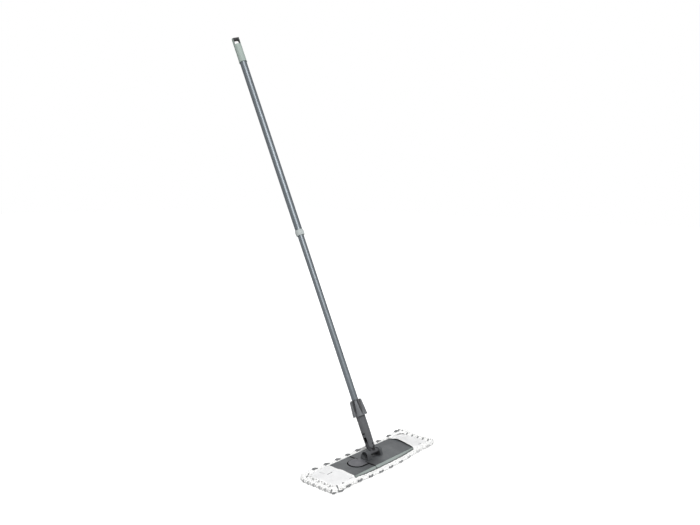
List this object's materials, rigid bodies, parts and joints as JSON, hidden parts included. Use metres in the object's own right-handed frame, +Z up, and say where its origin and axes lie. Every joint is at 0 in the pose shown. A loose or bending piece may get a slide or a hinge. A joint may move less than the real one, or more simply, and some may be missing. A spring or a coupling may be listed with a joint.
{
  "type": "flat mop",
  "caption": "Flat mop: a slip-on white pad with end pockets on a folding plate, a two-axis joint with a lobed hand nut, and a telescopic grey handle with a hanging eye.",
  "frame": {"origin": "centre of the pad's underside, on the floor", "axes": "+X along the pad away from the pedal, -Y towards the front long edge, +Z up; the handle leans towards +Y"},
  "size_m": [0.472, 0.6706, 1.2458],
  "materials": {
    "tube_paint": "satin bluish grey paint",
    "cap_plastic": "pale sage moulded plastic",
    "dark_insert": "near-black moulded plastic",
    "collar_plastic": "pale grey moulded plastic",
    "inner_plastic": "plain moulded plastic",
    "head_plastic": "dark grey moulded plastic, fine grain",
    "edge_strip": "pale sage soft plastic",
    "steel": "plain bright steel",
    "pad_pile": "white looped pile with grey stitches along the edge",
    "pad_cloth": "pale grey woven cloth"
  },
  "bodies": {
    "upper_handle": {"upper_tube": "tube_paint", "end_cap": "cap_plastic", "hanger_insert": "dark_insert", "tube_collar": "collar_plastic"},
    "sleeve": {"lock_sleeve": "inner_plastic"},
    "cone": {"lock_cone": "inner_plastic"},
    "lower_handle": {"lower_tube": "tube_paint", "lock_plug": "inner_plastic", "neck": "head_plastic", "cross_pin": "steel"},
    "nut": {"clamp_nut": "head_plastic"},
    "hub": {"joint_hub": "head_plastic"},
    "head": {"main_plate": "head_plastic", "main_edge_strips": "edge_strip", "axle_pin": "steel", "hinge_pins": "steel", "pad_tufts": "pad_pile", "pad_base": "pad_cloth", "right_pocket": "pad_cloth"},
    "flap": {"left_flap": "head_plastic", "flap_edge_strips": "edge_strip", "left_pocket": "pad_cloth", "pedal_pin": "steel", "pedal_spring": "steel"},
    "pedal": {"pedal": "head_plastic"}
  },
  "joints": [
    {"name": "telescope", "type": "slide", "parent": "upper_handle", "child": "sleeve", "axis": [0, 0.4399, 0.898], "range_m": [0, 0.48]},
    {"name": "twist_lock", "type": "hinge", "parent": "sleeve", "child": "lower_handle", "pos_m": [0, 0.33435, 0.7101], "axis": [0, 0.4399, 0.898], "range_deg": [-180, 0]},
    {"name": "cone_rise", "type": "slide", "parent": "sleeve", "child": "cone", "axis": [0, 0.4399, 0.898], "range_m": [0, 0.0015]},
    {"name": "nut_turn", "type": "hinge", "parent": "lower_handle", "child": "nut", "pos_m": [0, 0.05719, 0.14434], "axis": [0, 0.4399, 0.898], "range_deg": [0, 180]},
    {"name": "side_tilt", "type": "hinge", "parent": "lower_handle", "child": "hub", "pos_m": [0, 0.01038, 0.04879], "axis": [0, 0.898, -0.4399], "range_deg": [-60, 60]},
    {"name": "front_tilt", "type": "hinge", "parent": "hub", "child": "head", "pos_m": [0, 0, 0.0276], "axis": [1, 0, 0], "range_deg": [-101.1, 48.9]},
    {"name": "fold", "type": "hinge", "parent": "head", "child": "flap", "pos_m": [-0.0462, 0, 0.0096], "axis": [0, -1, 0], "range_deg": [0, 90], "deforming": ["pad_tufts", "pad_base"]},
    {"name": "pedal_press", "type": "hinge", "parent": "flap", "child": "pedal", "pos_m": [-0.0562, 0, 0.0126], "axis": [0, -1, 0], "range_deg": [0, 7], "stiffness_Nm_per_rad": 1, "springref_deg": -11.46, "deforming": ["pedal_spring"]}
  ],
  "couplings": [
    {"joint": "cone_rise", "follows": "twist_lock", "m_per_rad": -0.00047746}
  ]
}
